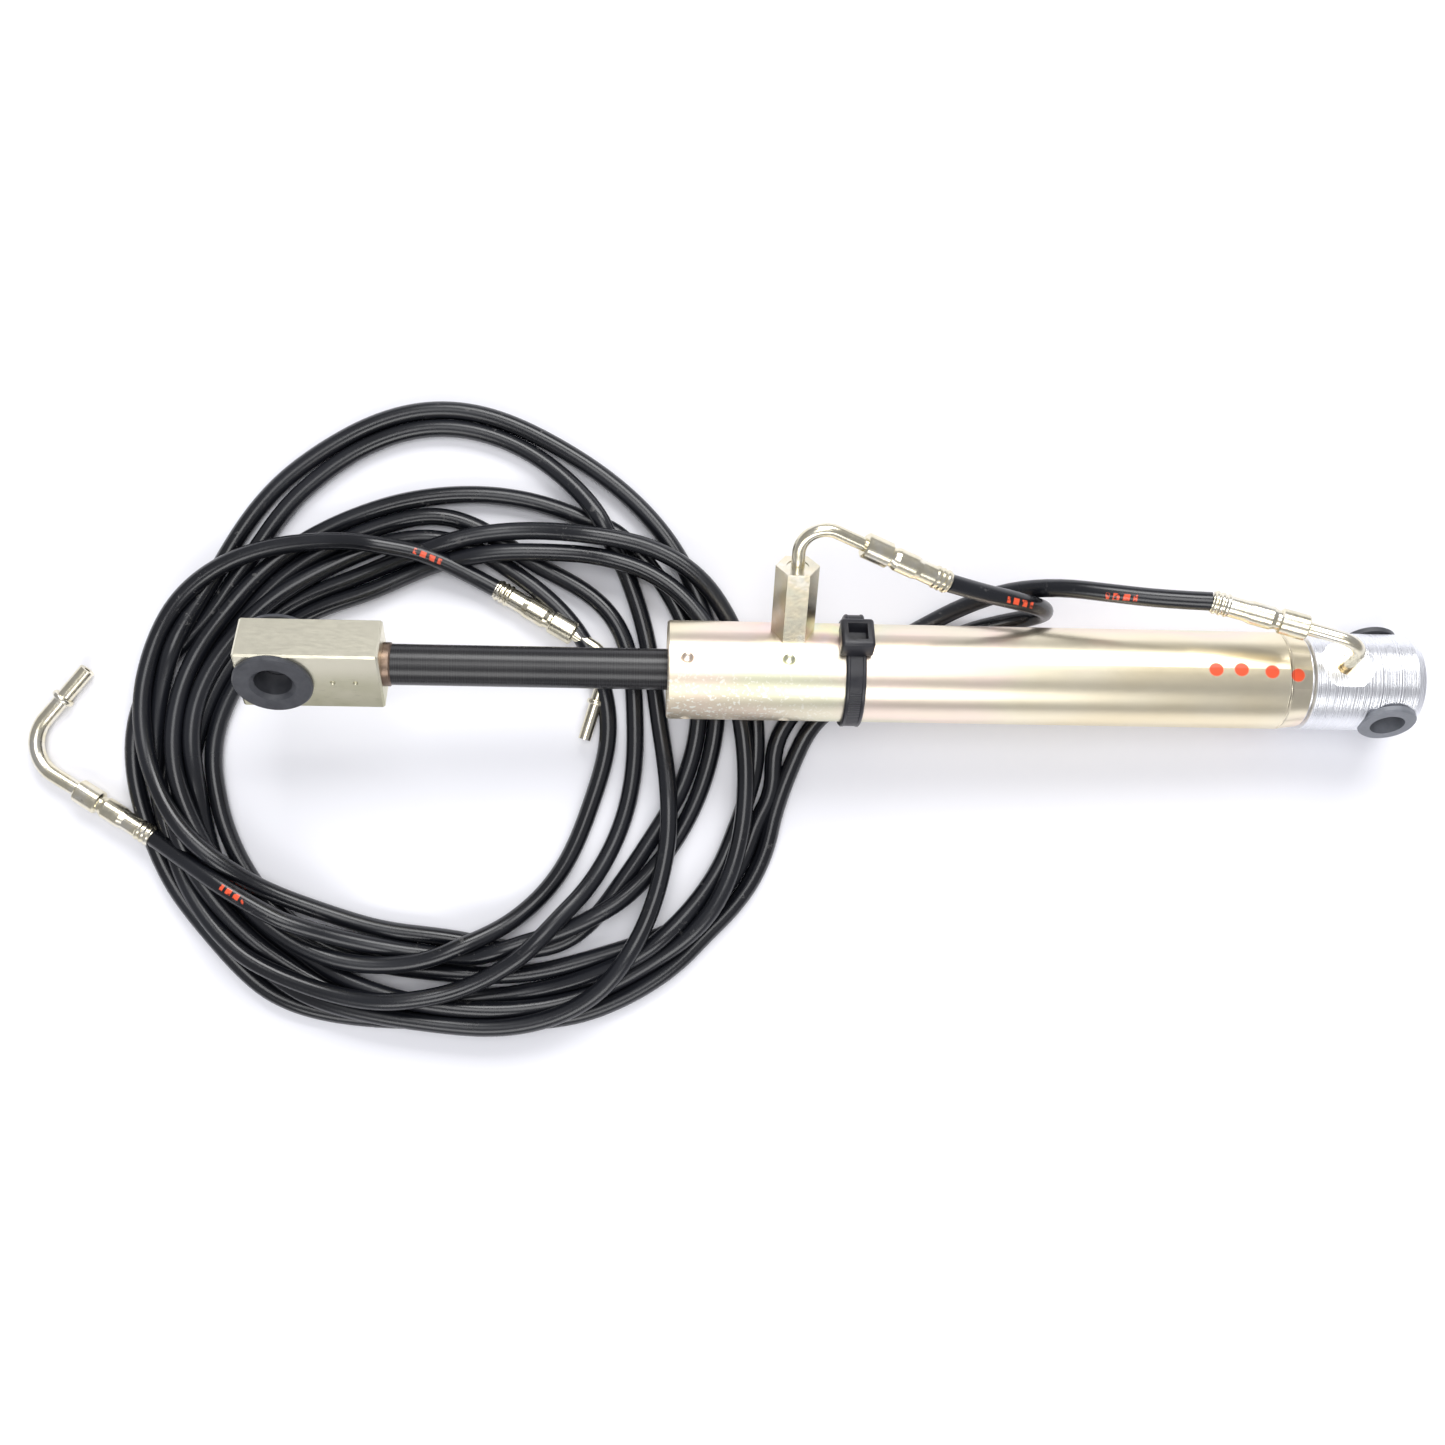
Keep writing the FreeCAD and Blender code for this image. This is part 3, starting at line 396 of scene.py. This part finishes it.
def barrel_zinc():
    paint = Turned("barrel_zinc", Metallic=1.0)
    wide = paint.noise(30, 2, 0.5, stretch=(0.6, 1.2, 1.2))
    colour = paint.ramp(wide, (0.30, (0.84, 0.73, 0.50)), (0.46, (0.90, 0.82, 0.63)),
                        (0.56, (0.92, 0.77, 0.66)), (0.70, (0.80, 0.80, 0.60)))
    # the film's colours run through green, yellow and pink round the boss and along the top
    near_boss = paint.maths("MULTIPLY", paint.span(paint.maths("ABSOLUTE", paint.maths(
        "SUBTRACT", paint.station, 148)), 22, 4), paint.span(paint.roll, 0.15, 0.6))
    film = paint.ramp(paint.noise(95, 2, 0.4), (0.36, (0.62, 0.80, 0.68)), (0.46, (0.90, 0.86, 0.48)),
                      (0.56, (0.92, 0.62, 0.60)), (0.68, (0.70, 0.66, 0.86)))
    colour = paint.mix(paint.maths("MULTIPLY", near_boss, 0.55), colour, film)
    # a coarse bright speckle on the front, densest low on the near side
    front = paint.span(paint.station, 128, 172)
    low = paint.span(paint.roll, 0.25, -0.5)
    speck = paint.maths("MULTIPLY", paint.maths("MULTIPLY", front, low),
                        paint.span(paint.noise(1150, 2, 0.5), 0.56, 0.64))
    dull = paint.maths("MULTIPLY", paint.maths("MULTIPLY", front, low), 0.38)
    colour = paint.mix(dull, colour, (0.50, 0.45, 0.30))
    colour = paint.mix(speck, colour, (0.95, 0.93, 0.84))
    dots = [spot(paint, x, y, 1.75, 1.6) for x, y in ((-44.3, 2.0), (-38.1, 2.1), (-30.6, 1.7), (-24.2, 1.0))]
    painted = paint.maths("MINIMUM", paint.maths("ADD", paint.maths("ADD", dots[0], dots[1]),
                                                 paint.maths("ADD", dots[2], dots[3])), 1.0)
    colour = paint.mix(painted, colour, ORANGE)
    metal = paint.maths("SUBTRACT", 1.0, painted)
    grain = paint.noise(900, 3, 0.6)
    rough = paint.maths("ADD", paint.span(grain, 0.3, 0.7, 0.31, 0.34), paint.maths("MULTIPLY", dull, 0.4))
    # eight pressed facets round the rear edge
    facet = paint.maths("ABSOLUTE", paint.maths("SUBTRACT", paint.maths(
        "FRACT", paint.maths("MULTIPLY_ADD", paint.roll, 8 / math.tau, 20.25)), 0.5))
    rear = paint.span(paint.station, 33.2, 32.6)
    pressed = paint.maths("MULTIPLY", paint.maths("SUBTRACT", 0.25, paint.maths("MULTIPLY", facet, facet)), rear)
    edge = paint.maths("MULTIPLY", paint.maths("ABSOLUTE", paint.maths("SUBTRACT", paint.station, 32.7)), 1.0)
    step = paint.span(edge, 0.5, 0.0, 0.0, 0.12)
    under = paint.bump(paint.maths("ADD", pressed, step), 0.0022, 1.0)
    return paint.set(Base_Color=colour, Roughness=rough, Metallic=metal,
                     Normal=under)


def fitting_zinc(name, warm):
    paint = Paint(name, Metallic=1.0)
    wide = paint.noise(150, 3, 0.6)
    colour = paint.ramp(wide, (0.32, (0.70, 0.66, 0.52)), (0.48, warm), (0.66, (0.84, 0.81, 0.72)))
    grain = paint.noise(1300, 2)
    spots = paint.span(paint.noise(620, 3, 0.6), 0.64, 0.74, 0, 0.35)
    colour = paint.mix(spots, colour, (0.36, 0.33, 0.24))
    return paint.set(Base_Color=colour, Roughness=paint.span(grain, 0.3, 0.7, 0.22, 0.27),
                     Normal=paint.bump(grain, 0.00004, 0.3))


def block_zinc():
    paint = Turned("block_zinc", Metallic=1.0)
    wide = paint.noise(60, 3, 0.6)
    colour = paint.ramp(wide, (0.35, (0.62, 0.60, 0.42)), (0.65, (0.76, 0.72, 0.56)))
    sawn = paint.noise(420, 3, 0.6, stretch=(1, 4, 4))
    colour = paint.mix(paint.span(sawn, 0.55, 0.75, 0, 0.25), colour, (0.42, 0.40, 0.28))
    # painted light: the face that looks up is painted lighter, cream, as it catches the light; the near face
    # keeps the olive
    colour = paint.mix(paint.span(paint.side, -6.0, -1.0), colour, (0.86, 0.82, 0.66))
    return paint.set(Base_Color=colour, Roughness=paint.span(sawn, 0.3, 0.7, 0.33, 0.38),
                     Normal=paint.bump(paint.noise(260, 2, 0.5, stretch=(1, 4, 4)), 0.00010, 0.3))


def turned_aluminium():
    paint = Turned("turned_aluminium", Metallic=1.0)
    lines = paint.lines(2.6, 4)
    wide = paint.noise(70, 3, 0.6)
    colour = paint.ramp(wide, (0.35, (0.84, 0.85, 0.88)), (0.65, (0.90, 0.91, 0.94)))
    pits = paint.span(paint.noise(520, 3, 0.6), 0.66, 0.74, 0, 0.6)
    colour = paint.mix(pits, colour, (0.45, 0.46, 0.50))
    under = paint.bump(lines, 0.00035, 0.55)
    return paint.set(Base_Color=colour, Roughness=paint.span(lines, 0.3, 0.7, 0.26, 0.38),
                     Normal=paint.bump(paint.noise(800, 2), 0.00008, 0.5, under))


def black_rod():
    paint = Turned("black_rod", Specular_IOR_Level=0.5)
    lines = paint.lines(9.0, 3)
    return paint.set(Base_Color=paint.ramp(paint.noise(40, 2), (0.3, (0.010, 0.010, 0.012)), (0.7, (0.020, 0.019, 0.020))),
                     Roughness=paint.span(lines, 0.3, 0.7, 0.24, 0.32))


def plain(name, dark, light, rough, metallic=0.0, scale=300, depth=0.00006):
    paint = Paint(name, Metallic=metallic)
    grain = paint.noise(scale, 3, 0.6)
    return paint.set(Base_Color=paint.ramp(grain, (0.35, dark), (0.7, light)),
                     Roughness=paint.span(grain, 0.3, 0.7, rough - 0.05, rough + 0.08),
                     Normal=paint.bump(grain, depth, 0.5))


def dress(material, *names):
    for name in names:
        for place in nodes[name].material_slots:
            place.link = "OBJECT"
            place.material = material


hose_paint = hose_black(((-91.5, 17.4, -8), (-67.6, 19.0, -5), (-237.9, 28.0, -22), (-283.9, -57.4, 150)))
for made in (hose_a, hose_b):
    made.data.materials.append(hose_paint)
fittings = fitting_zinc("fitting_zinc", (0.82, 0.76, 0.58))
seal = plain("seal_black", (0.008, 0.008, 0.009), (0.014, 0.014, 0.016), 0.45)
steel = plain("inner_steel", (0.42, 0.42, 0.43), (0.50, 0.50, 0.52), 0.3, 1.0)
bronze = plain("guide_bronze", (0.52, 0.36, 0.16), (0.60, 0.44, 0.22), 0.35, 1.0)
dress(barrel_zinc(), "barrel_tube")
dress(fitting_zinc("boss_zinc", (0.80, 0.72, 0.54)), "front_port_boss")
dress(fittings, "front_elbow_tube", "front_port_sleeve", "front_hose_collar", "front_hose_ferrule",
      "rear_elbow_tube", "rear_hose_collar", "rear_hose_ferrule", "end_a_tube",
      "end_a_collar", "end_a_ferrule", "end_b_tube", "end_b_collar", "end_b_ferrule")
dress(fitting_zinc("sleeve_brass", (0.72, 0.56, 0.34)), "rear_port_sleeve")
dress(block_zinc(), "rod_eye_block")
dress(turned_aluminium(), "rear_cap")
dress(black_rod(), "rod")
dress(plain("neck_brown", (0.16, 0.11, 0.08), (0.30, 0.22, 0.17), 0.35, 0.9), "rod_neck_ring")
dress(plain("rod_bush_grey", (0.045, 0.047, 0.055), (0.075, 0.078, 0.088), 0.40), "rod_eye_bush_near", "rod_eye_bush_far")
# painted light: the near rear bush is painted a lighter grey than the far one, as the light falls on it; the far
# bush keeps the bushes' own dark grey
dress(plain("rear_bush_painted_lit_grey", (0.17, 0.18, 0.20), (0.23, 0.24, 0.27), 0.42), "rear_bush_near")
dress(plain("far_bush_grey", (0.05, 0.052, 0.06), (0.08, 0.082, 0.09), 0.45), "rear_bush_far")
dress(seal, "gland_o_ring", "rod_seal", "rod_wiper", "piston_seal", "rear_cap_o_ring",
      "front_port_o_ring", "rear_port_o_ring")
dress(steel, "piston", "piston_nut")
dress(bronze, "front_gland", "piston_guide_ring")


# ------------------------------------------------------------------ cable tie

TIE_STATION = 138.6
TIE_ROLL = math.radians(33)


def tie_material():
    paint = Turned("tie_black", Specular_IOR_Level=0.5)
    grain = paint.noise(260, 3)
    ribs = paint.maths("SINE", paint.maths("MULTIPLY", paint.roll, 130))
    middle = paint.span(paint.maths("ABSOLUTE", paint.maths("SUBTRACT", paint.station, TIE_STATION)), 1.5, 1.3)
    low = paint.maths("MULTIPLY", middle, paint.span(paint.roll, -0.35, -0.45))
    under = paint.bump(paint.maths("MULTIPLY", ribs, low), 0.00012, 0.6)
    return paint.set(Base_Color=paint.ramp(grain, (0.3, (0.012, 0.012, 0.016)), (0.7, (0.022, 0.022, 0.028))),
                     Roughness=paint.span(grain, 0.3, 0.7, 0.30, 0.42),
                     Normal=paint.bump(paint.noise(900, 2), 0.00005, 0.5, under))


def tie_mesh(name, rings, faces_closed=True):
    """A strip through equal rings of points, given in the cylinder's frame in mm."""
    size = len(rings[0])
    points = [CYLINDER @ (Vector(point) * MM) for ring in rings for point in ring]
    faces = []
    last = len(rings) if faces_closed else len(rings) - 1
    for row in range(last):
        following = (row + 1) % len(rings)
        for k in range(size):
            after = (k + 1) % size
            faces.append((row * size + k, row * size + after, following * size + after, following * size + k))
    if not faces_closed:
        faces.append(tuple(range(size - 1, -1, -1)))
        faces.append(tuple((len(rings) - 1) * size + k for k in range(size)))
    mesh = bpy.data.meshes.new(name)
    mesh.from_pydata(points, [], faces)
    for face in mesh.polygons:
        face.use_smooth = True
    mesh.set_sharp_from_angle(angle=math.radians(35))
    return mesh


def strap_section(radius, roll, half, thick):
    """The strap's section: flat, with soft edges and a shallow channel along its outside."""
    corners = ((-half, 0), (-half, thick * 0.7), (-half + 0.35, thick), (-half + 0.8, thick),
               (-half + 0.95, thick - 0.16), (half - 0.95, thick - 0.16), (half - 0.8, thick),
               (half - 0.35, thick), (half, thick * 0.7), (half, 0))
    return [((radius + out) * math.cos(roll), (radius + out) * math.sin(roll), TIE_STATION + along)
            for along, out in corners]


def tie_strap():
    rings = []
    steps = 144
    for step in range(steps):
        roll = TIE_ROLL + math.tau * step / steps
        away = (step / steps) * 360
        # the strap stands off the barrel where it bends into the head
        lift = 1.9 * math.exp(-((away - 32) / 13.0) ** 2)
        rings.append(strap_section(12.06 + lift, roll, 2.4, 1.15))
    made = bpy.data.objects.new("cable_tie_strap", tie_mesh("cable_tie_strap", rings))
    bpy.context.scene.collection.objects.link(made)
    return made


def tie_head():
    """A rounded block with a sunken window in its outer face."""
    import bmesh
    mesh = bpy.data.meshes.new("cable_tie_head")
    shape = bmesh.new()
    bmesh.ops.create_cube(shape, size=1.0)
    for point in shape.verts:
        point.co = Vector((point.co.x * 5.2, point.co.y * 8.0, point.co.z * 8.0))
    bmesh.ops.bevel(shape, geom=list(shape.edges), offset=0.9, segments=4, affect="EDGES", profile=0.5)
    top = max(shape.faces, key=lambda face: (face.normal.x, face.calc_area()))
    bmesh.ops.inset_region(shape, faces=[top], thickness=0.8, use_even_offset=True)
    window = max(shape.faces, key=lambda face: (round(face.normal.x, 3), face.calc_area()))
    pushed = bmesh.ops.extrude_discrete_faces(shape, faces=[window])["faces"]
    for face in pushed:
        for point in face.verts:
            point.co.x -= 2.6
            point.co.y *= 0.62
            point.co.z *= 0.94
    frame_in = CYLINDER @ Matrix.Rotation(TIE_ROLL, 4, "Z")
    for point in shape.verts:
        point.co = frame_in @ ((point.co + Vector((14.7, 0, TIE_STATION))) * MM)
    shape.normal_update()
    shape.to_mesh(mesh)
    shape.free()
    for face in mesh.polygons:
        face.use_smooth = True
    mesh.set_sharp_from_angle(angle=math.radians(40))
    made = bpy.data.objects.new("cable_tie_head", mesh)
    bpy.context.scene.collection.objects.link(made)
    return made


tie_paint = tie_material()
for made in (tie_strap(), tie_head()):
    made.data.materials.append(tie_paint)
    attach(made, "barrel")
    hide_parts("cable_tie")


# ------------------------------------------------------------------ bench and light


def bench():
    mesh = bpy.data.meshes.new("bench")
    low = -EYE_HEIGHT * MM
    mesh.from_pydata([(-9, -9, low), (9, -9, low), (9, 9, low), (-9, 9, low)], [], [(0, 1, 2, 3)])
    made = bpy.data.objects.new("bench", mesh)
    bpy.context.scene.collection.objects.link(made)
    paint = Paint("bench", Roughness=0.55, Specular_IOR_Level=0.25)
    paint.set(Base_Color=paint.ramp(paint.noise(3, 2), (0.3, (0.90, 0.90, 0.94)), (0.7, (0.93, 0.93, 0.97))))
    mesh.materials.append(paint.material)


def lamp(name, place, target, size, power, colour=(1, 1, 1)):
    data = bpy.data.lights.new(name, "AREA")
    data.shape = "RECTANGLE"
    data.size, data.size_y = size
    data.energy = power
    data.color = colour
    made = bpy.data.objects.new(name, data)
    made.location = place
    made.rotation_euler = (Vector(target) - Vector(place)).to_track_quat("-Z", "Y").to_euler()
    bpy.context.scene.collection.objects.link(made)


bench()
lamp("back_light", (0.02, 0.75, 0.75), (-0.14, 0, 0), (0.9, 0.45), 8.8)
lamp("front_light", (-0.25, -0.8, 0.7), (-0.16, 0, 0), (0.9, 0.45), 4.6)
lamp("top_light", (-0.16, 0.1, 1.2), (-0.16, 0, 0), (0.6, 0.6), 4.2)
world = bpy.data.worlds.new("studio")
bpy.context.scene.world = world
world.use_nodes = True
world.node_tree.nodes["Background"].inputs["Color"].default_value = (0.93, 0.94, 1.0, 1)
world.node_tree.nodes["Background"].inputs["Strength"].default_value = 0.37

bpy.context.view_layer.update()
